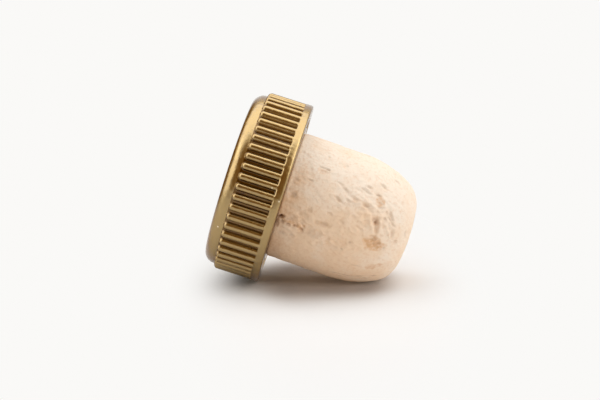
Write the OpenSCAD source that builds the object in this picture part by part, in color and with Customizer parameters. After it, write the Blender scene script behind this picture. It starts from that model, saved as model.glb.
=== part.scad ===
// Bottle stopper: a ribbed moulded cap holding a cork shank, stood on the cap's flat top

/* [Cap] */
// Diameter over the lip ring
cap_d = 28.2; // [27:0.1:34]
// Height from the flat top to the face of the lip
cap_h = 9; // [7:0.1:12]
// Height of the smooth collar before the ribs begin
collar_h = 1.9; // [1.8:0.1:3]
// Rounding between the flat top and the collar
top_round = 1.7; // [0.4:0.1:1.8]
// Height of the plain lip ring
lip_h = 1.25; // [0.8:0.05:2]
// Rounding of the lip ring's two edges
lip_round = 0.3; // [0.1:0.05:0.4]
// Thickness of the top plate
plate_t = 1.8; // [1.4:0.1:2.4]
// Thickness of the outer wall between the ribs
wall_t = 1.25; // [1:0.05:1.6]

/* [Ribs] */
// Number of ribs round the cap
rib_count = 54; // [36:2:60]
// Width of one rib
rib_w = 1.1; // [0.8:0.05:1.2]
// Height of the rib crests above the wall
rib_h = 0.65; // [0.4:0.05:0.7]
// How far the rib crests lie under the lip ring
crest_drop = 0.05; // [0:0.01:0.1]

/* [Cork] */
// Diameter of the shank
cork_d = 19.5; // [17:0.1:20]
// Length of shank below the lip
cork_l = 20; // [14:0.1:28]
// Gentle shoulder's radius, as a share of the shank's radius
shoulder_share = 1.49; // [1.2:0.01:1.8]
// End corner's radius, as a share of the shank's radius
corner_share = 0.475; // [0.3:0.005:0.6]
// Crowned end's radius, as a share of the shank's radius
crown_share = 2.9; // [2:0.1:6]
// Angle the gentle shoulder turns before the end corner
shoulder_turn = 30; // [15:1:40]

/* [Socket] */
// How far the socket squeezes the cork, each side
cork_squeeze = 0.2; // [0.05:0.05:0.4]
// Gap left for glue between the socket and the cork, each side
glue_gap = 0; // [0:0.01:0.1]
// Thickness of the socket's wall
socket_t = 1.1; // [0.8:0.05:1.4]

/* [Hidden] */
// Fineness of round shapes
$fn = 180;
// Radii of the lip, the rib crests, and the collar with the wall between the ribs
lip_r = cap_d / 2;
crest_r = lip_r - crest_drop;
collar_r = crest_r - rib_h;
// Ribs are round rods half sunk in the wall, each with a ball nose
rib_r = rib_w / 2;
rib_axis_r = crest_r - rib_r;
rib_start = collar_h + rib_r;
lip_start = cap_h - lip_h;
rib_l = lip_start + lip_h / 2 - rib_start;
// Cork sizes, from the socket's floor to the crowned end
cork_r = cork_d / 2;
socket_r = cork_r - cork_squeeze;
held_r = socket_r - glue_gap;
cork_end = cap_h + cork_l;
// Hollow round the socket
hollow_in = socket_r + socket_t;
hollow_out = collar_r - wall_t;
// Radii and centres of the three arcs of the cork's end, each tangent to the next
shoulder_r = cork_r * shoulder_share;
corner_r = cork_r * corner_share;
crown_r = cork_r * crown_share;
corner_x = cork_r - shoulder_r + (shoulder_r - corner_r) * cos(shoulder_turn);
crown_turn = acos(corner_x / (crown_r - corner_r));
crown_y = cork_end - crown_r;
corner_y = crown_y + (crown_r - corner_r) * sin(crown_turn);
shoulder_y = corner_y - (shoulder_r - corner_r) * sin(shoulder_turn);
// Reach of a wedge past its arc, as a share of the arc's radius
wedge_share = 1.5;
// Lap of the corner's circle over the arcs beside it, as a share of its radius
lap_share = 0.0005;
lap = corner_r * lap_share;
// Overrun of cuts past a face
over = lip_h / 2;

// Pie slice between two angles
module slice(centre, radius, from, to) {
    reach = radius * wedge_share;
    intersection() {
        translate(centre)
            circle(r = radius);
        polygon([
            centre,
            centre + reach * [cos(from), sin(from)],
            centre + reach * [cos(to), sin(to)]
        ]);
    }
}

// Half section of a ring or disc with both outer edges rounded
module rounded_disc(radius, height, round) {
    square([radius - round, height]);
    translate([0, round])
        square([radius, height - 2 * round]);
    for (y = [round, height - round])
        translate([radius - round, y])
            circle(r = round);
}

// Half section of the cap's outside
module cap_outline() {
    square([collar_r - top_round, cap_h]);
    translate([0, top_round])
        square([collar_r, cap_h - top_round]);
    translate([collar_r - top_round, top_round])
        circle(r = top_round);
    translate([0, lip_start])
        rounded_disc(lip_r, lip_h, lip_round);
}

// Half section of one rib: a rod with a ball nose
module rib_outline() {
    square([rib_r, rib_l]);
    intersection() {
        circle(r = rib_r);
        translate([0, -rib_r])
            square([rib_r, 2 * rib_r]);
    }
}

// Ring of ribs
module ribs() {
    for (i = [0 : rib_count - 1])
        rotate([0, 0, i * 360 / rib_count])
            translate([rib_axis_r, 0, rib_start])
                rotate_extrude($fn = 24)
                    rib_outline();
}

// Room for the held end of the cork
module socket_room() {
    translate([0, 0, plate_t])
        cylinder(r = socket_r, h = cap_h - plate_t + over);
}

// Ring-shaped hollow between the socket and the outer wall
module wall_hollow() {
    translate([0, 0, plate_t])
        difference() {
            cylinder(r = hollow_out, h = cap_h - plate_t + over);
            translate([0, 0, -over])
                cylinder(r = hollow_in, h = cap_h - plate_t + 3 * over);
        }
}

// Moulded cap
module cap() {
    color("darkgoldenrod")
        difference() {
            union() {
                rotate_extrude()
                    cap_outline();
                ribs();
            }
            socket_room();
            wall_hollow();
        }
}

// Half section of the cork
module cork_outline() {
    translate([0, plate_t])
        square([held_r, cap_h - plate_t]);
    translate([0, cap_h])
        square([cork_r, shoulder_y - cap_h]);
    intersection() {
        translate([0, cap_h])
            square([cork_r, cork_l]);
        union() {
            slice([cork_r - shoulder_r, shoulder_y], shoulder_r, 0, shoulder_turn);
            translate([corner_x, corner_y])
                circle(r = corner_r + lap);
            slice([0, crown_y], crown_r, crown_turn, 90);
        }
    }
}

// Cork with a tumbled end
module cork_shank() {
    color("burlywood")
        rotate_extrude()
            cork_outline();
}

cap();
cork_shank();
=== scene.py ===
"""A bottle stopper: a cork shank glued into a ribbed, gold-lacquered cap, lying on a pale studio floor."""
import math
import random

import bpy
import numpy as np
from bpy.props import FloatProperty, FloatVectorProperty, IntProperty, PointerProperty
from mathutils import Matrix, Vector, noise


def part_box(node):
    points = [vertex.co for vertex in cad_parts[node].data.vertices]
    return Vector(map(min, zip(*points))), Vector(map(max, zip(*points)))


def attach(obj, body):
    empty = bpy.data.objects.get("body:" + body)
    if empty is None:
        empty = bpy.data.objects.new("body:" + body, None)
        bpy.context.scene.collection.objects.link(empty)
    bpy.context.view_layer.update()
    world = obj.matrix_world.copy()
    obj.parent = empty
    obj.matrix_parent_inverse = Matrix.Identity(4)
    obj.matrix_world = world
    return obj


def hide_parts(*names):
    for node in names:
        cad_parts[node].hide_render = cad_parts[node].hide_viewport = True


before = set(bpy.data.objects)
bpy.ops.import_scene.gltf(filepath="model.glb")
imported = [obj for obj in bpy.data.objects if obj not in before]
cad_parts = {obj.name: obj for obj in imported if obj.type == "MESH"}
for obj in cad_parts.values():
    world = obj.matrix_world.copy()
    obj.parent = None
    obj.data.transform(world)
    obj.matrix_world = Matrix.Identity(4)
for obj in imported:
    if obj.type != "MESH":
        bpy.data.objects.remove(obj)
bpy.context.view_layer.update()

bl_info = {
    "name": "Cork stopper",
    "version": (1, 0, 0),
    "blender": (4, 5, 0),
    "location": "View3D > Sidebar > Stopper",
    "description": "Builds a cork stopper with a ribbed gold cap, and the studio floor it lies on",
    "category": "Object",
}

MM = 0.001

# The cap's and the cork's outside sizes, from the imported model
CAP_LOW, CAP_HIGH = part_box("cap")
CORK_LOW, CORK_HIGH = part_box("cork_shank")
LIP_R = (CAP_HIGH.x - CAP_LOW.x) / 2
CAP_H = CAP_HIGH.z
CORK_R = (CORK_HIGH.x - CORK_LOW.x) / 2
CORK_END = CORK_HIGH.z
SEAT = CORK_LOW.z

# Fineness of the meshes: step along the cap's roundings, and columns round the cork
ARC_STEP = 0.11 * MM
CORK_COLUMNS = 420

# Length over which the cork swells to its full width outside the socket
SWELL = 0.25 * MM

# Sizes in mm of the noises that shape the cork: broad lumps, small dents, wrinkles, grain,
# the ragged edges of marks and the warm patches
LUMP_MM, DENT_MM, WRINKLE_MM, GRAIN_MM, RAGGED_MM, PATCH_MM = 5.0, 1.3, 0.75, 0.45, 0.6, 2.5

# How high the dents are on smooth skin, and what is added to that in crumpled places
SMOOTH_SHARE, CRUMPLED_SHARE = 0.4, 1.5

# A mark's outline wavers by this share; then where its rim lies in edge distances, its width and height
RAGGED_SHARE = 0.45
RIM_AT, RIM_WIDTH, RIM_HEIGHT = 1.5, 0.35, 0.2

# Distances from the lip over which the painted shade on the cork's lower side weakens, the ochre stain with
# painted shade under the cap's lip ends, and the relief sets in
WARMTH_AND_SHADE_FADE = (12 * MM, 18 * MM)
LIP_STAIN_AND_SHADE_FADE = (0.5 * MM, 5.5 * MM)
RELIEF_START = (0.05 * MM, 0.6 * MM)

# How many pores, and how many bare patches, the sides have that the photograph doesn't show
FAR_PORES, FAR_PATCHES = 90, 7

# Dim places that the gold mirrors, in degrees: bearing (0 is away from the camera, plus is right),
# angle above the floor, and how far from its middle each starts and ends to fade
DIM_PLACES = (
    (180, 22, 32, 48),
    (-45, 14, 20, 36),
)

# Softboxes: name, place right of, behind and above the stopper, width and height in metres, and watts
SOFTBOXES = (
    ("softbox_over", (0.0, 0.085, 0.34), 0.9, 0.42, 1.74),
    ("softbox_left", (-0.336, -0.109, 0.188), 0.34, 0.3, 0.42),
    ("softbox_right", (0.286, -0.152, 0.235), 0.34, 0.3, 0.65),
)

# Floor, in metres: half its width, and how far off things still count for the painted shadow in its colour;
# then the strength of the paper's painted glow from below
FLOOR_REACH = 0.6
SHADE_REACH = 0.06
TABLE_GLOW = 0.08

# Oval of paper that the camera sees: its middle and its half sizes on the floor, then, in half sizes
# from its middle, where it starts and ends to fade, and where the painted shadow ends and is full
OVAL_MIDDLE = (1.7 * MM, 0.0, 0.0)
OVAL_HALF = (12 * MM, 40 * MM, 1.0)
OVAL_FADE = (1.0, 2.0)
SHADE_FADE = (1.05, 0.5)

# Painted shadow by how open the paper is (1 is free, 0 is covered): where it starts and is full,
# then where it is weakest and full again in the shadow's core, and its weakest share there
RIM_OPEN = (0.87, 0.4)
CORE_OPEN = (0.1, 0.3)
CORE_SHARE = 0.25

# Camera: width of its frame in mm, and the nearest thing it shows, in metres
FRAME_WIDTH = 36.0
CLIP_START = 0.01

# Sockets of a Mix node that mixes colours
MIX_SHARE, MIX_A, MIX_B, MIX_OUT = 0, 6, 7, 2


def linear(code):
    """An sRGB hex colour as the linear RGBA that Blender's sockets take."""
    parts = [int(code[k:k + 2], 16) / 255 for k in (1, 3, 5)]
    return tuple(c / 12.92 if c <= 0.04045 else ((c + 0.055) / 1.055) ** 2.4 for c in parts) + (1.0,)


def length(label, text, mm):
    """A length property, with its default given in millimetres."""
    return FloatProperty(name=label, description=text, default=mm * MM, min=0.0, unit="LENGTH", precision=5)


def colour(label, text, code):
    """A colour property, with its default given as an sRGB hex value."""
    return FloatVectorProperty(name=label, description=text, default=linear(code), size=4, min=0.0, max=1.0,
                               subtype="COLOR")


def angle(label, text, degrees):
    """An angle property, with its default given in degrees."""
    return FloatProperty(name=label, description=text, default=math.radians(degrees), subtype="ANGLE")


def ratio(label, text, value):
    """A property without a unit, for a size given as a share of another one."""
    return FloatProperty(name=label, description=text, default=value, min=0.0)


class StopperCap(bpy.types.PropertyGroup):
    """Sizes and colours of the moulded cap"""
    rib_count: IntProperty(name="Ribs", description="Ribs around the cap", default=54, min=12)
    rib_width: length("Rib width", "Width of one half-round rib", 1.1)
    rib_height: length("Rib height", "How far a rib stands above the collar", 0.65)
    crest_drop: length("Crest drop", "How far the ribs stay below the lip's edge", 0.05)
    collar_height: length("Collar height", "Smooth band between the flat top and the ribs", 1.9)
    top_round: length("Top rounding", "Rounding between the flat top and the collar", 1.7)
    lip_height: length("Lip height", "Height of the plain lip ring", 1.25)
    lip_round: length("Lip rounding", "Rounding of the lip's two edges", 0.3)
    rib_root: length("Root rounding", "Hollow rounding where a rib meets the collar", 0.12)
    plate: length("Plate", "Thickness of the flat top", 1.8)
    wall: length("Wall", "Thickness of the outer wall", 1.25)
    socket_wall: length("Socket wall", "Thickness of the wall that grips the cork", 1.1)
    squeeze: length("Squeeze", "How far the socket squeezes the cork's radius", 0.2)
    pattern_turn: angle("Pattern turn", "Turn of the lacquer's pools and nicks round the cap", 6.667)
    gold: colour("Gold lacquer", "Colour of the lacquered metal layer", "#AC905A")
    umber: colour("Worn lacquer", "Duller patches of the lacquer", "#A08554")
    # Painted shade: the dark colour mixed into the gold between the ribs
    groove_shade: colour("Pooled lacquer", "Deep colour between the ribs", "#6A4A10")
    edge: colour("Edge-on lacquer", "Deeper tone where the dyed lacquer is seen edge-on", "#A08048")
    nick: colour("Nicks", "Where the lacquer has chipped", "#E6D6B4")


class StopperCork(bpy.types.PropertyGroup):
    """Sizes and colours of the cork shank"""
    shoulder_share: ratio("Shoulder", "Shoulder radius per cork radius", 1.49)
    corner_share: ratio("Corner", "Corner radius per cork radius", 0.475)
    crown_share: ratio("Crown", "End radius per cork radius", 2.9)
    shoulder_turn: angle("Shoulder turn", "Angle that the shoulder's arc turns through", 30)
    lean: angle("Lean", "How far the cork leans in its socket", 1.4)
    wear: length("Wear", "How much the cork's end has worn down", 0.05)
    lump: length("Lumps", "Height of the cork's broad lumps", 0.08)
    dent: length("Dents", "Height of the small dents between the lumps", 0.1)
    grit: length("Grit", "Height of the cork's grain", 0.03)
    pattern_turn: angle("Pattern turn", "Turn of the lumps and mottles round the cork", 6.667)
    seed: IntProperty(name="Seed", description="Start of the random pores on the far sides", default=7)
    # Cream shows on the lit upper side and peach on the lower side as painted light and shade; both also
    # mottle at random
    cream: colour("Cream", "Clean tumbled cork", "#F8E6D2")
    peach: colour("Peach", "Warmer cork between the cream patches", "#F4D5B5")
    bark: colour("Bark", "Brown of the pores and cracks", "#8A5F41")
    ochre: colour("Ochre", "Bare cork where the tumbled skin has come off", "#E2B488")


class StopperStage(bpy.types.PropertyGroup):
    """Floor, light and camera"""
    facing: angle("Facing", "Direction round the stopper that faces the camera", -51.187)
    yaw: angle("Yaw", "How far the cork's end turns towards the camera", 3.534)
    height_angle: angle("Height", "Camera's angle above the floor", 10)
    roll: angle("Roll", "Camera's roll", -0.11)
    target: length("Target", "Height on the stopper's axis of the point that the camera turns round", 13.84)
    shift_right: length("Shift right", "How far right of the picture's middle that point stands", 2.44)
    shift_down: length("Shift down", "How far below the picture's middle that point stands", 0.57)
    distance: length("Distance", "From the camera to that point", 281.8)
    lens: FloatProperty(name="Lens", description="Focal length of the camera", default=110.5, unit="CAMERA")
    floor: colour("Floor", "Matt paper floor", "#E8E6E4")
    # Painted shadow: the colour mixed into the paper round the stopper
    shade: colour("Shade", "Warm tone of the paper at the rim of the shadow", "#A99F98")
    backdrop: colour("Backdrop", "Pale backdrop that the camera sees and the gold mirrors", "#FAF9F7")
    walls: colour("Walls", "Grey walls that light the stopper from all round", "#8C8B8A")
    room: colour("Room", "Dim places in the room that the gold mirrors", "#8A600E")


def add_node(tree, kind, settings=None, values=None, links=None):
    """Adds one shader node, sets its properties and socket values, and links its inputs."""
    node = tree.nodes.new(kind)
    for name, value in (settings or {}).items():
        setattr(node, name, value)
    for socket, value in (values or {}).items():
        node.inputs[socket].default_value = value
    for socket, source in (links or {}).items():
        tree.links.new(source, node.inputs[socket])
    return node


def new_material(name):
    """An empty node material and its tree."""
    material = bpy.data.materials.new(name)
    material.use_nodes = True
    material.node_tree.nodes.clear()
    return material, material.node_tree


def smooth_max(a, b, blend):
    """The larger of two surfaces, with a hollow rounding where they cross."""
    near = np.maximum(blend - np.abs(a - b), 0) / blend
    return np.maximum(a, b) + near * near * blend / 4


def fade(edge_in, edge_out, value):
    """1 up to edge_in, 0 past edge_out, with a smooth change between."""
    t = np.clip((edge_out - value) / (edge_out - edge_in), 0, 1)
    return t * t * (3 - 2 * t)


def lathe(name, rings, first, last):
    """A closed mesh object from rings of points, with one middle point before the rings and one after."""
    rows, columns = rings.shape[:2]
    points = np.concatenate([rings.reshape(-1, 3), [first, last]])
    grid = np.arange(rows * columns).reshape(rows, columns)
    turned = np.roll(grid, -1, axis=1)
    quads = np.stack([grid[:-1], turned[:-1], turned[1:], grid[1:]], -1).reshape(-1, 4)
    start, end = rows * columns, rows * columns + 1
    faces = quads.tolist()
    faces += [(start, int(b), int(a)) for a, b in zip(grid[0], turned[0])]
    faces += [(end, int(a), int(b)) for a, b in zip(grid[-1], turned[-1])]
    mesh = bpy.data.meshes.new(name)
    mesh.from_pydata(points.tolist(), [], faces)
    mesh.validate()
    mesh.shade_smooth()
    piece = bpy.data.objects.new(name, mesh)
    bpy.context.scene.collection.objects.link(piece)
    return piece


def rounded(corners):
    """Points of an outline of square corners (radius, height, rounding), with an arc at each rounded one."""
    points = [corners[0][:2]]
    for before, corner, after in zip(corners, corners[1:], corners[2:]):
        at, radius = Vector(corner[:2]), corner[2]
        back = (Vector(before[:2]) - at).normalized() * radius
        on = (Vector(after[:2]) - at).normalized() * radius
        arcs = max(3, round(radius / ARC_STEP)) if radius else 0
        for k in range(arcs + 1):
            turn = math.pi / 2 * k / max(arcs, 1)
            points.append(tuple(at + back * (1 - math.sin(turn)) + on * (1 - math.cos(turn))))
    return points + [corners[-1][:2]]


def build_cap(size):
    """The cap: flat top, smooth collar, ball-nosed ribs, lip ring, and the hollow and socket below."""
    rib_r = size.rib_width / 2
    crest_r = LIP_R - size.crest_drop
    collar_r = crest_r - size.rib_height
    axis_r = crest_r - rib_r
    rib_start = size.collar_height + rib_r
    lip_start = CAP_H - size.lip_height
    socket_r = CORK_R - size.squeeze
    hollow_in = socket_r + size.socket_wall
    hollow_out = collar_r - size.wall
    soft = size.lip_round / 2

    # The outline, with rows where the ribs' noses curve, from a little before their tips
    nose_reach = 1.15 * rib_r
    nose = [rib_start - nose_reach * math.cos(math.radians(a)) for a in range(0, 91, 9)]
    straight = np.linspace(rib_start, lip_start - size.rib_root, 6)[1:-1]
    corners = [(0, 0, 0)]
    corners += [(collar_r * share, 0, 0) for share in (0.2, 0.45, 0.7)]
    corners += [(collar_r, 0, size.top_round)]
    corners += [(collar_r, z, 0) for z in (*nose, *straight)]
    corners += [
        (collar_r, lip_start, size.rib_root),
        (LIP_R, lip_start, size.lip_round),
        (LIP_R, CAP_H, size.lip_round),
        (hollow_out, CAP_H, soft),
        (hollow_out, size.plate, size.lip_round),
        (hollow_in, size.plate, size.lip_round),
        (hollow_in, CAP_H, soft),
        (socket_r, CAP_H, soft / 2),
        (socket_r, size.plate, 0),
        (0, size.plate, 0),
    ]
    outline = np.array(rounded(corners))[1:-1]
    radius, height = outline[:, :1], outline[:, 1:]

    # Columns: closer together over each rib's flanks and root
    half_groove = math.pi * axis_r / size.rib_count - rib_r
    half = [rib_r * s for s in (0.3, 0.57, 0.77, 0.91, 1.0)]
    half += [rib_r + half_groove * s for s in (0.3, 0.65)]
    across = np.array([-t for t in reversed(half)] + [0.0] + half + [rib_r + half_groove])
    pitch = 2 * math.pi / size.rib_count
    turns = (np.arange(size.rib_count)[:, None] * pitch + across[None, :] / axis_r).reshape(-1)
    offset = np.tile(across, size.rib_count)[None, :]

    # A rib is a half-round rod with a ball nose, steep beside it, melted into the collar by a hollow rounding
    steep, slack = 5, 0.01 * MM
    from_axis = np.hypot(offset, np.maximum(rib_start - height, 0))
    bulge = np.sqrt(np.maximum(rib_r ** 2 - from_axis ** 2, 0))
    flank = steep * np.maximum(from_axis - rib_r, 0)
    rib = axis_r + bulge - flank
    banded = (radius > collar_r - slack) & (height > size.top_round) & (height < CAP_H - size.lip_round)
    ringed = np.where(banded, smooth_max(radius + 0 * rib, rib, size.rib_root), radius + 0 * rib)
    rings = np.stack([ringed * np.cos(turns), ringed * np.sin(turns), height + 0 * rib], -1)
    piece = lathe("ribbed_cap", rings, (0, 0, 0), (0, 0, size.plate))

    # How deep in a groove each point lies, for the painted shade that darkens the gold between the ribs
    ribbed = banded & (height > size.collar_height) & (height < lip_start + soft)
    deep = np.where(ribbed, fade(0.0, 0.75, (ringed - collar_r) / size.rib_height), 0.0)
    field = piece.data.attributes.new("groove", "FLOAT", "POINT")
    field.data.foreach_set("value", np.append(deep.reshape(-1), [0.0, 0.0]).astype(np.float32))
    return piece


def gold_lacquer(size):
    """Moulded ABS, vacuum-metallised and lacquered: a satin gold mirror under a thin clear coat.
    The eye gets broad soft reflections, a little orange peel, and painted shade that deepens the gold between
    the ribs."""
    material, tree = new_material("ABS_metallised_gold_lacquer")
    coord = add_node(tree, "ShaderNodeTexCoord").outputs["Object"]
    place = add_node(tree, "ShaderNodeMapping", None, {"Rotation": (0.0, 0.0, size.pattern_turn)},
                     {"Vector": coord}).outputs["Vector"]
    # Pools of lacquer about 2.5 mm across
    pools = add_node(tree, "ShaderNodeTexNoise", None, {"Scale": 1 / (2.5 * MM), "Detail": 3.0},
                     {"Vector": place})
    tone = add_node(tree, "ShaderNodeMix", {"data_type": "RGBA"},
                    {MIX_A: size.gold, MIX_B: size.umber}, {MIX_SHARE: pools.outputs["Fac"]})
    # Painted shade: the gold darkens to a deep brown between the ribs, where shade falls
    groove = add_node(tree, "ShaderNodeAttribute", {"attribute_name": "groove"})
    groove_shade = add_node(tree, "ShaderNodeMix", {"data_type": "RGBA"}, {MIX_B: size.groove_shade},
                      {MIX_SHARE: groove.outputs["Fac"], MIX_A: tone.outputs[MIX_OUT]})
    # Pale nicks about 0.3 mm across, where the lacquer has chipped
    nicks = add_node(tree, "ShaderNodeTexVoronoi", None, {"Scale": 1 / (1.1 * MM)}, {"Vector": place})
    small = add_node(tree, "ShaderNodeMath", {"operation": "LESS_THAN"}, {1: 0.13},
                     {0: nicks.outputs["Distance"]})
    rare = add_node(tree, "ShaderNodeMath", {"operation": "GREATER_THAN"}, {1: 0.9},
                    {0: nicks.outputs["Color"]})
    chipped = add_node(tree, "ShaderNodeMath", {"operation": "MULTIPLY"}, None,
                       {0: small.outputs["Value"], 1: rare.outputs["Value"]})
    nicked = add_node(tree, "ShaderNodeMix", {"data_type": "RGBA"}, {MIX_B: size.nick},
                      {MIX_SHARE: chipped.outputs["Value"], MIX_A: groove_shade.outputs[MIX_OUT]})
    # Handling marks about 0.6 mm across change the gloss
    rub = add_node(tree, "ShaderNodeTexNoise", None, {"Scale": 1 / (0.6 * MM), "Detail": 4.0},
                   {"Vector": place})
    satin = add_node(tree, "ShaderNodeMapRange", None, {"To Min": 0.23, "To Max": 0.38},
                     {"Value": rub.outputs["Fac"]})
    # Orange peel is about 0.1 mm on such parts, drawn 0.25 mm so that it shows
    peel = add_node(tree, "ShaderNodeTexNoise", None, {"Scale": 1 / (0.25 * MM), "Detail": 2.0},
                    {"Vector": place})
    fine = add_node(tree, "ShaderNodeBump", None, {"Strength": 0.25, "Distance": 0.01 * MM},
                    {"Height": peel.outputs["Fac"]})
    # Dings about 1 mm across make the ribs' highlights uneven
    ding = add_node(tree, "ShaderNodeTexNoise", None, {"Scale": 1 / (1.0 * MM), "Detail": 2.5},
                    {"Vector": place})
    bump = add_node(tree, "ShaderNodeBump", None, {"Strength": 1.0, "Distance": 0.075 * MM},
                    {"Height": ding.outputs["Fac"], "Normal": fine.outputs["Normal"]})
    gold = add_node(tree, "ShaderNodeBsdfPrincipled", None,
                    {"Metallic": 1.0, "Coat Weight": 1.0, "Coat Roughness": 0.15, "Specular Tint": size.edge},
                    {"Base Color": nicked.outputs[MIX_OUT], "Roughness": satin.outputs["Result"],
                     "Normal": bump.outputs["Normal"]})
    add_node(tree, "ShaderNodeOutputMaterial", None, None, {"Surface": gold.outputs["BSDF"]})
    return material


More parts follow.
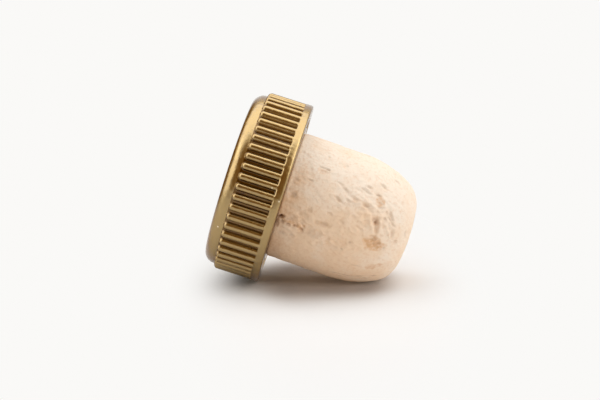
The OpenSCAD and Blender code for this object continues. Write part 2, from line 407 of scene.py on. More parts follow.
# Marks on the cork's near side: mm from the lip, degrees round from the facing side (plus is up),
# length and width in mm, turn from the cork's length in degrees, depth in mm (minus is raised),
# how brown, how ochre
NEAR_MARKS = (
    # Slit on the lit upper side, darker at one end, and the pores round it
    (4.6, 34, 1.9, 0.4, 0, 0.16, 0.1, 0.15),
    (5.1, 34.3, 0.7, 0.4, 0, 0.13, 0.12, 0.0),
    (4.4, 30.5, 1.5, 0.8, 0, 0.06, 0.03, 0.35),
    (7.5, 45.5, 0.7, 0.5, 0, 0.11, 0.12, 0.0),
    (4.6, 48.5, 0.5, 0.5, 0, 0.1, 0.06, 0.2),
    (8.2, 56, 0.5, 0.35, 0, 0.1, 0.12, 0.0),
    (3.2, 19, 1, 0.3, 0, 0.16, 0.15, 0.1),
    # Short dents in the crumpled middle
    (7.8, 10.5, 1.4, 0.55, -22, 0.32, 0.13, 0.0),
    (9.3, 12, 0.9, 0.5, -10, 0.21, 0.1, 0.0),
    (7.6, 24.5, 1.2, 0.4, -12, 0.16, 0.05, 0.0),
    (8.5, 20.5, 1.3, 0.45, -28, 0.19, 0.05, 0.0),
    (10.3, 15.5, 1, 0.5, -20, 0.16, 0.05, 0.0),
    (7.3, -4, 1, 0.5, -5, 0.16, 0.07, 0.0),
    (9.1, -7, 1.2, 0.5, 0, 0.16, 0.08, 0.0),
    (11.7, 31.5, 1, 0.45, -5, 0.24, 0.16, 0.0),
    (13.7, 39, 1.5, 0.5, -18, 0.26, 0.12, 0.0),
    (15.5, 56, 1.3, 0.5, 0, 0.19, 0.11, 0.0),
    (11.4, 26.5, 2.2, 0.42, -10, 0.21, 0.05, 0.0),
    (12, 13.5, 1.7, 0.6, -14, 0.26, 0.06, 0.0),
    # Oval bare patch with a brown arc over it, and the ridge beside it
    (13.9, 22, 1.5, 1.7, 0, 0.07, 0.03, 0.6),
    (13.4, 27.5, 1.1, 0.36, 8, 0.16, 0.38, 0.2),
    (12.3, 17, 2.6, 0.6, -20, -0.13, 0.0, 0.0),
    (13.9, 15.2, 2.2, 0.55, 2, -0.12, 0.0, 0.0),
    # Dimple with a trough below it, ridged on its left
    (14, 4.5, 1.4, 1.2, 30, 0.34, 0.26, 0.0),
    (14.3, 2.5, 0.7, 0.7, 0, 0.2, 0.3, 0.0),
    (14.4, -1, 2.2, 1.0, -80, 0.26, 0.2, 0.25),
    (13.3, 2, 1.9, 0.5, -75, -0.17, 0.0, 0.1),
    (15.3, 9, 0.7, 0.5, 0, 0.19, 0.18, 0.1),
    (15.4, 3, 1.2, 0.6, 35, -0.12, 0.0, 0.0),
    (16.1, 14.5, 1.5, 0.5, -38, 0.26, 0.17, 0.0),
    (16.4, 9, 1.4, 0.4, -40, 0.14, 0.08, 0.0),
    (16.7, 6, 0.9, 0.5, -20, 0.19, 0.12, 0.0),
    (17.0, -3, 1.3, 0.6, -70, 0.21, 0.12, 0.0),
    (16.3, -2, 1.4, 0.4, -60, -0.1, 0.0, 0.0),
    (19.0, 2, 1.2, 0.5, -70, 0.16, 0.14, 0.0),
    # Large bare patch low down, crumbly inside, with brown dents over it
    (14.9, -18.8, 3.1, 1.8, 8, 0.14, 0.02, 0.9),
    (13.7, -17, 1.3, 1.0, 0, 0.08, 0.0, 0.6),
    (14.5, -20.5, 0.9, 0.7, 20, -0.08, 0.12, 0.9),
    (15.5, -20, 0.9, 0.7, 0, -0.08, 0.16, 0.9),
    (14.8, -17.5, 0.6, 0.6, 0, 0.1, 0.26, 0.8),
    (15.6, -16, 1.0, 0.6, 0, 0.12, 0.24, 0.7),
    (14.6, -13.5, 1.9, 0.8, 10, 0.16, 0.2, 0.3),
    (14.4, -10.4, 1.5, 0.5, 15, 0.2, 0.18, 0.1),
    (16.5, -19.8, 0.45, 0.4, 0, 0.1, 0.3, 0.0),
    (17.9, -12, 1.1, 1.0, 0, 0.1, 0.08, 0.15),
    (17.9, -9.4, 0.9, 0.3, 0, 0.1, 0.16, 0.0),
    # Mottles near the lip
    (1.2, 1.5, 1.1, 1.3, 0, 0.1, 0.3, 0.3),
    (0.4, 4.5, 0.7, 0.8, 0, 0.08, 0.18, 0.2),
    (0.8, 14.5, 0.9, 0.9, 0, 0.09, 0.16, 0.3),
    (4.2, -6.5, 1.2, 0.9, 10, 0.08, 0.2, 0.2),
    (3.3, -12, 1.3, 1.1, 0, 0.07, 0.16, 0.3),
    (6.9, -14, 1.6, 0.9, 10, 0.12, 0.26, 0.2),
    (6.0, -14.5, 1.0, 0.8, 0, 0.08, 0.14, 0.2),
    (5.7, -25, 2.4, 1.7, 0, 0.06, 0.14, 0.1),
    (2.8, -34, 0.7, 0.6, 0, 0.06, 0.2, 0.0),
    (1.3, -35.5, 1.2, 1.0, 0, 0.07, 0.18, 0.2),
    # Crack at the lip, and the crumbled ledge that runs on from it
    (0.45, -20.2, 1.2, 0.55, 12, 0.8, 1.0, 0.0),
    # A real notch along the lip, its dark brown partly painted shade in the gap under the lip
    (0.15, -25, 0.5, 2.2, 0, 0.45, 0.9, 0.0),
    (1.2, -21.6, 0.8, 0.6, 0, -0.16, 0.08, 0.9),
    (1.9, -21.8, 0.7, 0.5, 0, -0.14, 0.08, 0.9),
    (2.5, -22, 0.7, 0.6, 0, -0.12, 0.1, 0.8),
    (1.0, -24, 0.8, 0.35, 15, 0.3, 0.45, 0.3),
    (1.8, -24.4, 0.9, 0.35, -5, 0.26, 0.42, 0.4),
    (2.7, -24.2, 0.7, 0.35, 10, 0.2, 0.3, 0.5),
    (3.5, -23.2, 0.9, 0.9, 0, -0.1, 0.08, 0.9),
    (3.9, -25.6, 0.9, 0.45, -40, 0.24, 0.34, 0.4),
    (4.2, -21.8, 0.6, 0.5, 0, 0.14, 0.14, 0.6),
    (2.2, -18.6, 1.6, 1.2, 0, 0.1, 0.12, 0.2),
    (3.7, -17.4, 1.2, 1.1, 0, 0.1, 0.1, 0.1),
    (3.0, -26, 1.5, 0.5, -12, -0.15, 0.0, 0.0),
    (1.5, -27.5, 1.6, 0.6, -5, -0.15, 0.0, 0.0),
    # Dots on the lower half, and faint yellow patches
    (10.5, -30.5, 0.55, 0.42, 0, 0.1, 0.35, 0.0),
    (11.4, -22.5, 0.6, 0.5, 0, 0.08, 0.25, 0.0),
    (15.5, -44.5, 1.8, 1.2, 10, 0.03, 0.0, 0.5),
    (16.6, -41.5, 1.3, 0.9, 20, 0.03, 0.0, 0.4),
    (13.3, -45, 1.9, 0.28, -8, 0.08, 0.2, 0.0),
    # Wavy lines along the underside
    (10.8, -64, 2.4, 0.36, 4, 0.1, 0.4, 0.0),
    (12.8, -64, 2.2, 0.36, -5, 0.1, 0.4, 0.0),
    (14.5, -62.5, 1.8, 0.4, 6, 0.1, 0.38, 0.1),
    (16.3, -61.5, 1.8, 0.36, -3, 0.1, 0.34, 0.0),
    (11.8, -68, 2.6, 0.34, -3, 0.1, 0.4, 0.0),
    (15.2, -67, 2.4, 0.36, 4, 0.1, 0.4, 0.0),
)

# Places where the skin is crumpled: mm from the lip, degrees round, length and width in mm
CRUMPLED = (
    (12.5, 9, 11, 9),
    (3.0, -20, 6, 5),
    (9.0, 150, 10, 8),
    (14.0, 225, 8, 6),
)


def far_marks(seed):
    """Pores, slits and bare patches for the sides that the photograph doesn't show, like NEAR_MARKS."""
    dice = random.Random(seed)
    marks = []
    for _ in range(FAR_PORES):
        along = dice.uniform(0.6, 19.0)
        around = dice.uniform(75, 280)
        long = dice.uniform(0.4, 2.0) ** 1.3
        wide = min(long, dice.uniform(0.25, 0.7))
        turn = dice.gauss(0, 18)
        depth = dice.uniform(0.05, 0.18)
        marks.append((along, around, long, wide, turn, depth, dice.uniform(0.1, 0.45), 0.0))
    for _ in range(FAR_PATCHES):
        along = dice.uniform(4, 17)
        around = dice.uniform(85, 270)
        long = dice.uniform(1.4, 3.2)
        wide = long * dice.uniform(0.45, 0.8)
        turn = dice.gauss(0, 30)
        marks.append((along, around, long, wide, turn, 0.07, 0.05, 0.7))
    return marks


def cork_section(size, squeeze, step):
    """Points of the cork's section from its seat to its end, with the section's direction at each."""
    held_r = CORK_R - squeeze
    shoulder_r = CORK_R * size.shoulder_share
    corner_r = CORK_R * size.corner_share
    crown_r = CORK_R * size.crown_share
    turn = size.shoulder_turn
    corner_x = CORK_R - shoulder_r + (shoulder_r - corner_r) * math.cos(turn)
    crown_turn = math.asin(corner_x / (crown_r - corner_r))
    crown_z = CORK_END - crown_r
    corner_z = crown_z + (crown_r - corner_r) * math.cos(crown_turn)
    shoulder_z = corner_z - (shoulder_r - corner_r) * math.sin(turn)

    points = [(held_r * share, SEAT) for share in (0.3, 0.6, 0.9)]
    points += [(held_r, z) for z in np.linspace(SEAT + 0.2 * MM, CAP_H - 0.05 * MM, 5)]
    # The cork swells to its full width just outside the socket
    points += [(held_r + (CORK_R - held_r) * math.sin(a), CAP_H + SWELL * (1 - math.cos(a)))
               for a in map(math.radians, (20, 45, 70))]
    points += [(CORK_R, z) for z in np.arange(CAP_H + SWELL, shoulder_z - step / 2, step)]
    for x, z, radius, a0, a1 in (
        (CORK_R - shoulder_r, shoulder_z, shoulder_r, 0.0, turn),
        (corner_x, corner_z, corner_r, turn, math.pi / 2 - crown_turn),
        (0.0, crown_z, crown_r, math.pi / 2 - crown_turn, math.pi / 2),
    ):
        count = max(2, round(radius * (a1 - a0) / step))
        points += [(x + radius * math.cos(a), z + radius * math.sin(a))
                   for a in np.linspace(a0, a1, count, endpoint=False)]
    points = np.array(points)
    slope = np.gradient(points, axis=0)
    slope /= np.linalg.norm(slope, axis=1)[:, None]
    return points, slope


def layer(at, mm, shift):
    """Noise of a size in mm at a point in mm; the shift makes one layer differ from the next."""
    return noise.noise(at / mm + Vector(shift))


def build_cork(size, squeeze, facing):
    """The cork shank, with the lumps, dents, pores, bare patches and crack of a tumbled natural cork."""
    section, slope = cork_section(size, squeeze, 2 * math.pi * CORK_R / CORK_COLUMNS)
    turns = np.arange(CORK_COLUMNS) * 2 * math.pi / CORK_COLUMNS
    out = np.stack([np.cos(turns), np.sin(turns), 0 * turns], -1)
    up = np.array([0.0, 0.0, 1.0])
    rings = section[:, None, :1] * out[None] + section[:, None, 1:] * up
    normals = slope[:, None, 1:] * out[None] - slope[:, None, :1] * up
    flat = rings.reshape(-1, 3)
    count = len(flat)

    def reach_of(along, around, long, wide, turn):
        """Which points lie near a mark, and how far out in it each of them lies (1 is its edge)."""
        row = int(np.argmin(np.abs(section[:, 1] - (CAP_H + along * MM)) + (section[:, 1] < CAP_H)))
        turn_at = facing - math.radians(around)
        outward = np.array([math.cos(turn_at), math.sin(turn_at), 0.0])
        centre = section[row, 0] * outward + section[row, 1] * up
        lengthways = slope[row, 0] * outward + slope[row, 1] * up
        # Towards the photograph's upper side
        upward = np.array([outward[1], -outward[0], 0.0])
        away = flat - centre
        close = np.linalg.norm(away, axis=1) < 2 * max(long, wide) * MM
        a, b = away[close] @ lengthways, away[close] @ upward
        c, s = math.cos(math.radians(turn)), math.sin(math.radians(turn))
        return close, np.hypot((a * c + b * s) / (long * MM / 2), (b * c - a * s) / (wide * MM / 2))

    crumple = np.zeros(count)
    for along, around, long, wide in CRUMPLED:
        close, reach = reach_of(along, around, long, wide, 0)
        crumple[close] = np.maximum(crumple[close], fade(0.3, 1.1, reach))

    rise, wobble, patch = np.zeros(count), np.zeros(count), np.zeros(count)
    spin = Matrix.Rotation(size.pattern_turn, 3, "Z")
    for k, point in enumerate(flat):
        at = spin @ Vector(point) / MM
        # Wrinkles are ridges where a noise, drawn out along the cork, passes through nought
        drawn = Vector((at.x, at.y, at.z * 0.6))
        wrinkle = 0.4 - 2 * abs(layer(drawn, WRINKLE_MM, (0, 0, 7)))
        dents = layer(at, DENT_MM, (9, 0, 0)) + 1.2 * wrinkle
        rise[k] = (size.lump * layer(at, LUMP_MM, (0, 0, 0)) + size.grit * layer(at, GRAIN_MM, (0, 5, 0))
                   + size.dent * dents * (SMOOTH_SHARE + CRUMPLED_SHARE * crumple[k]))
        wobble[k] = layer(at, RAGGED_MM, (3, 3, 3))
        patch[k] = layer(at, PATCH_MM, (0, 0, 3))

    # Painted light and shade: the cork is creamy on its upper side and warmer and darker below, most near the
    # lip, as the light falls; warmer patches at random come on top. Below by the lip an ochre stain is partly
    # the cork's own and partly painted shade under the cap's lip
    along_all = flat[:, 2] - CAP_H
    upper = np.tile(out @ np.array([math.sin(facing), -math.cos(facing), 0.0]), len(section))
    warm_and_shade = fade(-0.15, 0.6, upper) * (0.45 + 0.55 * fade(*WARMTH_AND_SHADE_FADE, along_all)) + 0.5 * patch
    ochre = 0.45 * fade(*LIP_STAIN_AND_SHADE_FADE, along_all) * fade(0.1, 0.8, upper) * (1 + patch)
    # A mark is a ragged hollow with a low rim, stained brown or bared to ochre
    brown = np.zeros(count)
    for along, around, long, wide, turn, depth, tint, bare in (*NEAR_MARKS, *far_marks(size.seed)):
        close, reach = reach_of(along, around, long, wide, turn)
        reach *= 1 + RAGGED_SHARE * wobble[close]
        inside = fade(0.3, 1.25, reach)
        rim = np.exp(-((reach - RIM_AT) / RIM_WIDTH) ** 2)
        rise[close] -= depth * MM * (inside - RIM_HEIGHT * rim)
        brown[close] = np.maximum(brown[close], tint * fade(0.2, 1.25, reach))
        ochre[close] = np.maximum(ochre[close], bare * fade(0.75, 1.15, reach))

    # The end is a little worn, the held part plain, and the cork leans to the photograph's lower side
    rise -= size.wear * (1 - fade(0.35, 0.9, np.repeat(-slope[:, 0], CORK_COLUMNS)))
    rise *= 1 - fade(*RELIEF_START, along_all)
    rings = rings + normals * rise.reshape(len(section), CORK_COLUMNS, 1)
    lower_side = np.array([-math.sin(facing), math.cos(facing), 0.0])
    rings += math.tan(size.lean) * np.maximum(rings[..., 2:] - CAP_H, 0) * lower_side
    lean_end = math.tan(size.lean) * (CORK_END - CAP_H) * lower_side
    piece = lathe("tumbled_cork", rings, (0, 0, SEAT), (lean_end[0], lean_end[1], CORK_END - size.wear))
    for name, values in (("brown", brown), ("ochre", ochre), ("warm_and_shade", warm_and_shade)):
        field = piece.data.attributes.new(name, "FLOAT", "POINT")
        field.data.foreach_set("value", np.append(values, [0.0, 0.0]).astype(np.float32))
    return piece


def natural_cork(size):
    """Natural cork, tumbled and dusted: a matt pale skin with warmer patches, brown pores and bare spots.
    The eye gets soft peach mottling, painted shade that makes the lower side warmer, a fine grain and no
    gloss."""
    material, tree = new_material("Natural_cork_tumbled")
    coord = add_node(tree, "ShaderNodeTexCoord").outputs["Object"]
    place = add_node(tree, "ShaderNodeMapping", None, {"Rotation": (0.0, 0.0, size.pattern_turn)},
                     {"Vector": coord}).outputs["Vector"]
    # Cream and warmer cork, mottled in patches of about 1.2 mm; the attribute adds painted shade, peach on
    # the lower side and near the lip
    mottle = add_node(tree, "ShaderNodeTexNoise", None,
                      {"Scale": 1 / (1.2 * MM), "Detail": 4.0, "Roughness": 0.6}, {"Vector": place})
    mottle_share = add_node(tree, "ShaderNodeMapRange", {"clamp": False}, {"To Min": -0.4, "To Max": 0.4},
                            {"Value": mottle.outputs["Fac"]})
    warm_and_shade = add_node(tree, "ShaderNodeAttribute", {"attribute_name": "warm_and_shade"})
    warm_share = add_node(tree, "ShaderNodeMath", {"operation": "ADD", "use_clamp": True}, None,
                          {0: warm_and_shade.outputs["Fac"], 1: mottle_share.outputs["Result"]})
    skin = add_node(tree, "ShaderNodeMix", {"data_type": "RGBA"}, {MIX_A: size.cream, MIX_B: size.peach},
                    {MIX_SHARE: warm_share.outputs["Value"]})
    # Cork cells lie in clumps of about 0.4 mm
    clump = add_node(tree, "ShaderNodeTexNoise", None, {"Scale": 1 / (0.4 * MM), "Detail": 3.0},
                     {"Vector": place})
    clump_share = add_node(tree, "ShaderNodeMapRange", None,
                           {"From Min": 0.5, "From Max": 0.75, "To Max": 0.4},
                           {"Value": clump.outputs["Fac"]})
    speckled = add_node(tree, "ShaderNodeMix", {"data_type": "RGBA"}, {MIX_B: size.ochre},
                        {MIX_SHARE: clump_share.outputs["Result"], MIX_A: skin.outputs[MIX_OUT]})
    # Bare cork crumbles in the same clumps; the ochre near the lip is partly painted shade
    ochre = add_node(tree, "ShaderNodeAttribute", {"attribute_name": "ochre"})
    crumb = add_node(tree, "ShaderNodeMapRange", None,
                     {"From Min": 0.3, "From Max": 0.6, "To Min": 0.35, "To Max": 1.1},
                     {"Value": clump.outputs["Fac"]})
    crumbly = add_node(tree, "ShaderNodeMath", {"operation": "MULTIPLY", "use_clamp": True}, None,
                       {0: ochre.outputs["Fac"], 1: crumb.outputs["Result"]})
    bared = add_node(tree, "ShaderNodeMix", {"data_type": "RGBA"}, {MIX_B: size.ochre},
                     {MIX_SHARE: crumbly.outputs["Value"], MIX_A: speckled.outputs[MIX_OUT]})
    # Pores and cracks are brown
    brown = add_node(tree, "ShaderNodeAttribute", {"attribute_name": "brown"})
    pored = add_node(tree, "ShaderNodeMix", {"data_type": "RGBA"}, {MIX_B: size.bark},
                     {MIX_SHARE: brown.outputs["Fac"], MIX_A: bared.outputs[MIX_OUT]})
    # Grain of about 0.2 mm, drawn 0.3 mm so that it shows
    grain = add_node(tree, "ShaderNodeTexNoise", None, {"Scale": 1 / (0.3 * MM), "Detail": 3.0},
                     {"Vector": place})
    bump = add_node(tree, "ShaderNodeBump", None, {"Strength": 0.7, "Distance": 0.07 * MM},
                    {"Height": grain.outputs["Fac"]})
    cork = add_node(tree, "ShaderNodeBsdfPrincipled", None, {"Roughness": 0.8, "IOR": 1.4},
                    {"Base Color": pored.outputs[MIX_OUT], "Normal": bump.outputs["Normal"]})
    add_node(tree, "ShaderNodeOutputMaterial", None, None, {"Surface": cork.outputs["BSDF"]})
    return material


def lying_frame(stage, cork, cap):
    """How the stopper lies: the turn from the floor's right, away and up to the stopper's frame, the floor's
    up in that frame, and a point of the floor."""
    # The free cork's section on its lower side, leaning as the cork does
    step, free = 0.2 * MM, 1 * MM
    section = cork_section(cork, cap.squeeze, step)[0]
    section = section[section[:, 1] > CAP_H + free]
    section[:, 0] += math.tan(cork.lean) * (section[:, 1] - CAP_H)
    # Roll on the lip's rounded edge until the cork's shoulder touches
    lean = 0.0
    for _ in range(4):
        touch_r = LIP_R - cap.lip_round * (1 - math.cos(lean))
        touch_z = CAP_H - cap.lip_round * (1 - math.sin(lean))
        lean = float(np.min(np.arctan2(touch_r - section[:, 0], section[:, 1] - touch_z)))
    # The stopper's axis, its upper side and its near side, as the floor sees them
    yaw, climb = stage.yaw, stage.height_angle
    axis = Vector((math.cos(lean) * math.cos(yaw), -math.cos(lean) * math.sin(yaw), -math.sin(lean)))
    above = (Vector((0, 0, 1)) - axis * axis.z).normalized()
    near = axis.cross(above)
    # The same three in the stopper's frame, turned so that its facing side looks back at the camera
    back = Vector((0, -math.cos(climb), math.sin(climb)))
    up_turn = stage.facing - math.atan2(back.dot(near), back.dot(above))
    e_above = Vector((math.cos(up_turn), math.sin(up_turn), 0))
    e_axis = Vector((0, 0, 1))
    e_near = e_axis.cross(e_above)
    to_stopper = Matrix((e_near, e_above, e_axis)).transposed() @ Matrix((near, above, axis))
    floor_up = to_stopper @ Vector((0, 0, 1))
    touch = touch_r * -e_above + Vector((0, 0, touch_z))
    return to_stopper, floor_up, touch


def matt_paper(stage):
    """White paper, uncoated and rolled matt: an even pale ground without gloss.
    The eye gets a soft shadow, deepened by a painted shadow with a warmer rim, and no horizon; a faint
    painted glow lights the stopper from below."""
    material, tree = new_material("Paper_matt_white")
    path = add_node(tree, "ShaderNodeLightPath")
    # How far out in the oval a point lies
    place = add_node(tree, "ShaderNodeTexCoord").outputs["Object"]
    moved = add_node(tree, "ShaderNodeVectorMath", {"operation": "SUBTRACT"}, {1: OVAL_MIDDLE}, {0: place})
    oval = add_node(tree, "ShaderNodeVectorMath", {"operation": "DIVIDE"}, {1: OVAL_HALF},
                    {0: moved.outputs["Vector"]})
    far = add_node(tree, "ShaderNodeVectorMath", {"operation": "LENGTH"}, None, {0: oval.outputs["Vector"]})
    # Painted shadow: a warmer shade is mixed into the colour that the camera sees, strongest at the shadow's
    # rim, weaker in its core, and only under the middle
    near = add_node(tree, "ShaderNodeAmbientOcclusion", {"samples": 8}, {"Distance": SHADE_REACH})
    hidden = add_node(tree, "ShaderNodeMapRange", {"interpolation_type": "SMOOTHSTEP"},
                      {"From Min": RIM_OPEN[0], "From Max": RIM_OPEN[1]}, {"Value": near.outputs["AO"]})
    core = add_node(tree, "ShaderNodeMapRange", None,
                    {"From Min": CORE_OPEN[0], "From Max": CORE_OPEN[1], "To Min": CORE_SHARE},
                    {"Value": near.outputs["AO"]})
    rim = add_node(tree, "ShaderNodeMath", {"operation": "MULTIPLY"}, None,
                   {0: hidden.outputs["Result"], 1: core.outputs["Result"]})
    middle = add_node(tree, "ShaderNodeMapRange", {"interpolation_type": "SMOOTHSTEP"},
                      {"From Min": SHADE_FADE[0], "From Max": SHADE_FADE[1]}, {"Value": far.outputs["Value"]})
    under = add_node(tree, "ShaderNodeMath", {"operation": "MULTIPLY"}, None,
                     {0: rim.outputs["Value"], 1: middle.outputs["Result"]})
    shaded = add_node(tree, "ShaderNodeMath", {"operation": "MULTIPLY"}, None,
                      {0: under.outputs["Value"], 1: path.outputs["Is Camera Ray"]})
    tint = add_node(tree, "ShaderNodeMix", {"data_type": "RGBA"}, {MIX_A: stage.floor, MIX_B: stage.shade},
                    {MIX_SHARE: shaded.outputs["Value"]})
    paper = add_node(tree, "ShaderNodeBsdfDiffuse", None, None, {"Color": tint.outputs[MIX_OUT]})
    # Far out, the paper that is seen fades into the backdrop's colour
    gone = add_node(tree, "ShaderNodeMapRange", {"interpolation_type": "SMOOTHSTEP"},
                    {"From Min": OVAL_FADE[0], "From Max": OVAL_FADE[1]}, {"Value": far.outputs["Value"]})
    unseen = add_node(tree, "ShaderNodeMath", {"operation": "MULTIPLY"}, None,
                      {0: gone.outputs["Result"], 1: path.outputs["Is Camera Ray"]})
    distant = add_node(tree, "ShaderNodeEmission", None, {"Color": stage.backdrop})
    faded = add_node(tree, "ShaderNodeMixShader", None, None,
                     {0: unseen.outputs["Value"], 1: paper.outputs["BSDF"], 2: distant.outputs["Emission"]})
    # From below the paper is clear, so that it blocks no view
    side = add_node(tree, "ShaderNodeNewGeometry")
    glass = add_node(tree, "ShaderNodeBsdfTransparent")
    sided = add_node(tree, "ShaderNodeMixShader", None, None,
                     {0: side.outputs["Backfacing"], 1: faded.outputs["Shader"], 2: glass.outputs["BSDF"]})
    # Painted light: the paper glows faintly for bounced rays, which lights the stopper's underside
    upward = add_node(tree, "ShaderNodeMath", {"operation": "MULTIPLY"}, {1: TABLE_GLOW},
                      {0: path.outputs["Is Diffuse Ray"]})
    glow = add_node(tree, "ShaderNodeEmission", None, {"Color": stage.floor},
                    {"Strength": upward.outputs["Value"]})
    both = add_node(tree, "ShaderNodeAddShader", None, None,
                    {0: sided.outputs["Shader"], 1: glow.outputs["Emission"]})
    add_node(tree, "ShaderNodeOutputMaterial", None, None, {"Surface": both.outputs["Shader"]})
    return material


def build_floor(stage, lay):
    """A square of paper under the stopper."""
    mesh = bpy.data.meshes.new("paper_floor")
    corners = [(x * FLOOR_REACH, y * FLOOR_REACH, 0) for x, y in ((-1, -1), (1, -1), (1, 1), (-1, 1))]
    mesh.from_pydata(corners, [], [(0, 1, 2, 3)])
    mesh.materials.append(matt_paper(stage))
    floor = bpy.data.objects.new("paper_floor", mesh)
    floor.matrix_world = lay
    bpy.context.scene.collection.objects.link(floor)


def build_room(stage, turn):
    """The room: grey walls that light the stopper from all round. The gold mirrors the pale backdrop and the
    dim places in it, and the camera sees the plain backdrop."""
    world = bpy.data.worlds.new("studio_room")
    bpy.context.scene.world = world
    world.use_nodes = True
    tree = world.node_tree
    tree.nodes.clear()
    way = add_node(tree, "ShaderNodeTexCoord").outputs["Generated"]
    path = add_node(tree, "ShaderNodeLightPath")
    shares = []
    for bearing, climb, inner, outer in (map(math.radians, place) for place in DIM_PLACES):
        level = math.cos(climb)
        middle = turn @ Vector((math.sin(bearing) * level, math.cos(bearing) * level, math.sin(climb)))
        towards = add_node(tree, "ShaderNodeVectorMath", {"operation": "DOT_PRODUCT"}, {1: middle}, {0: way})
        dim = add_node(tree, "ShaderNodeMapRange", {"interpolation_type": "SMOOTHSTEP"},
                       {"From Min": math.cos(outer), "From Max": math.cos(inner)},
                       {"Value": towards.outputs["Value"]})
        shares.append(dim.outputs["Result"])
    dimmed = shares[0]
    for share in shares[1:]:
        dimmed = add_node(tree, "ShaderNodeMath", {"operation": "MAXIMUM"}, None,
                          {0: dimmed, 1: share}).outputs["Value"]
    mirrored = add_node(tree, "ShaderNodeMix", {"data_type": "RGBA"},
                        {MIX_A: stage.backdrop, MIX_B: stage.room}, {MIX_SHARE: dimmed})
    around = add_node(tree, "ShaderNodeMix", {"data_type": "RGBA"}, {MIX_A: stage.walls},
                      {MIX_SHARE: path.outputs["Is Glossy Ray"], MIX_B: mirrored.outputs[MIX_OUT]})
    seen = add_node(tree, "ShaderNodeMath", {"operation": "MAXIMUM"}, None,
                    {0: path.outputs["Is Camera Ray"], 1: path.outputs["Is Transmission Ray"]})
    shown = add_node(tree, "ShaderNodeMix", {"data_type": "RGBA"}, {MIX_B: stage.backdrop},
                     {MIX_SHARE: seen.outputs["Value"], MIX_A: around.outputs[MIX_OUT]})
    sky = add_node(tree, "ShaderNodeBackground", None, {"Strength": 1.0}, {"Color": shown.outputs[MIX_OUT]})
    add_node(tree, "ShaderNodeOutputWorld", None, None, {"Surface": sky.outputs["Background"]})


def build_softboxes(below, turn):
    """One softbox overhead and one at each side, turned to the stopper and out of the camera's sight."""
    for name, place, wide, high, watts in SOFTBOXES:
        lamp = bpy.data.lights.new(name, "AREA")
        lamp.shape = "RECTANGLE"
        lamp.size, lamp.size_y = wide, high
        lamp.energy = watts
        softbox = bpy.data.objects.new(name, lamp)
        softbox.visible_camera = False
        stand = Vector(place)
        look = (-stand).to_track_quat("-Z", "Y").to_matrix().to_4x4()
        softbox.matrix_world = Matrix.Translation(below + turn @ stand) @ turn.to_4x4() @ look
        bpy.context.scene.collection.objects.link(softbox)


def build_camera(stage, target, turn):
    """The camera, which shows the stopper a little right of and below the picture's middle."""
    climb, roll = stage.height_angle, stage.roll
    right = Vector((math.cos(roll), math.sin(roll) * math.sin(climb), math.sin(roll) * math.cos(climb)))
    back = Vector((0, -math.cos(climb), math.sin(climb)))
    up = back.cross(right)
    stand = back * stage.distance
    aim = up * stage.shift_down - right * stage.shift_right
    away = (stand - aim).normalized()
    side = up.cross(away).normalized()
    upright = away.cross(side)
    pose = Matrix((side, upright, away)).transposed()
    camera = bpy.data.objects.new("camera", bpy.data.cameras.new("camera"))
    camera.data.lens = stage.lens
    camera.data.sensor_width = FRAME_WIDTH
    camera.data.clip_start = CLIP_START
    camera.matrix_world = Matrix.Translation(target + turn @ stand) @ (turn @ pose).to_4x4()
    bpy.context.scene.collection.objects.link(camera)
    bpy.context.scene.camera = camera


def build_stage(stage, cork, cap):
    """Paper floor, room, softboxes and camera, set round the stopper as it lies."""
    turn, floor_up, touch = lying_frame(stage, cork, cap)
    target = Vector((0, 0, stage.target))
    # The floor lies under the lowest point of the lumpy cork and the lip
    lowest = min((Vector(v.co) - touch).dot(floor_up) for name in ("tumbled_cork", "ribbed_cap")
                 for v in bpy.data.objects[name].data.vertices)
    below = target - floor_up * ((target - touch).dot(floor_up) - lowest)
    build_floor(stage, Matrix.Translation(below) @ turn.to_4x4())
    build_room(stage, turn)
    build_softboxes(below, turn)
    build_camera(stage, target, turn)
    bpy.context.scene.view_settings.view_transform = "Standard"


class STOPPER_OT_cap(bpy.types.Operator):
    """Makes the ribbed cap in gold lacquer"""
    bl_idname = "stopper.cap"
    bl_label = "Ribbed cap"

    def execute(self, context):
        piece = build_cap(context.scene.stopper_cap)
        piece.data.materials.append(gold_lacquer(context.scene.stopper_cap))
        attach(piece, "root")
        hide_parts("cap")
        return {"FINISHED"}


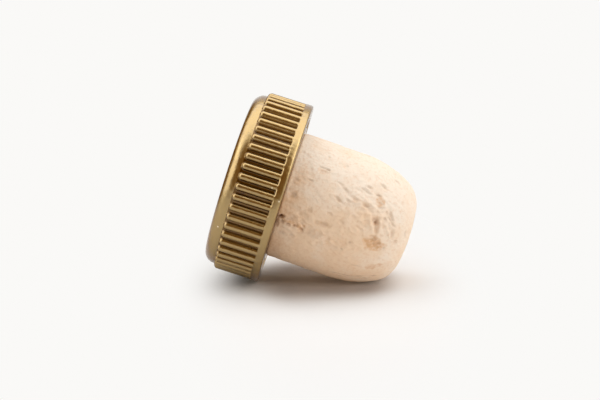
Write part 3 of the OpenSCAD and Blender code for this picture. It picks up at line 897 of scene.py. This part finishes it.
class STOPPER_OT_cork(bpy.types.Operator):
    """Makes the tumbled cork shank"""
    bl_idname = "stopper.cork"
    bl_label = "Cork shank"

    def execute(self, context):
        scene = context.scene
        piece = build_cork(scene.stopper_cork, scene.stopper_cap.squeeze, scene.stopper_stage.facing)
        piece.data.materials.append(natural_cork(scene.stopper_cork))
        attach(piece, "root")
        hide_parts("cork_shank")
        return {"FINISHED"}


class STOPPER_OT_stage(bpy.types.Operator):
    """Makes the floor, the light and the camera"""
    bl_idname = "stopper.stage"
    bl_label = "Floor, light and camera"

    def execute(self, context):
        scene = context.scene
        build_stage(scene.stopper_stage, scene.stopper_cork, scene.stopper_cap)
        return {"FINISHED"}


class VIEW3D_PT_stopper(bpy.types.Panel):
    """Lists the stopper's pieces with their sizes"""
    bl_label = "Cork stopper"
    bl_space_type = "VIEW_3D"
    bl_region_type = "UI"
    bl_category = "Stopper"

    def draw(self, context):
        scene = context.scene
        for operator, group in ((STOPPER_OT_cap, scene.stopper_cap), (STOPPER_OT_cork, scene.stopper_cork),
                                (STOPPER_OT_stage, scene.stopper_stage)):
            box = self.layout.box()
            box.operator(operator.bl_idname)
            for name in group.__annotations__:
                box.prop(group, name)


CLASSES = (StopperCap, StopperCork, StopperStage, STOPPER_OT_cap, STOPPER_OT_cork, STOPPER_OT_stage,
           VIEW3D_PT_stopper)


def register():
    """Registers the classes and gives the scene its sizes and colours."""
    for each in CLASSES:
        bpy.utils.register_class(each)
    bpy.types.Scene.stopper_cap = PointerProperty(type=StopperCap)
    bpy.types.Scene.stopper_cork = PointerProperty(type=StopperCork)
    bpy.types.Scene.stopper_stage = PointerProperty(type=StopperStage)


def unregister():
    """Takes the sizes and colours off the scene and the classes out again."""
    del bpy.types.Scene.stopper_stage
    del bpy.types.Scene.stopper_cork
    del bpy.types.Scene.stopper_cap
    for each in reversed(CLASSES):
        bpy.utils.unregister_class(each)


def main():
    """Builds the stopper and its stage."""
    register()
    bpy.ops.stopper.cap()
    bpy.ops.stopper.cork()
    bpy.ops.stopper.stage()


if __name__ == "__main__":
    main()
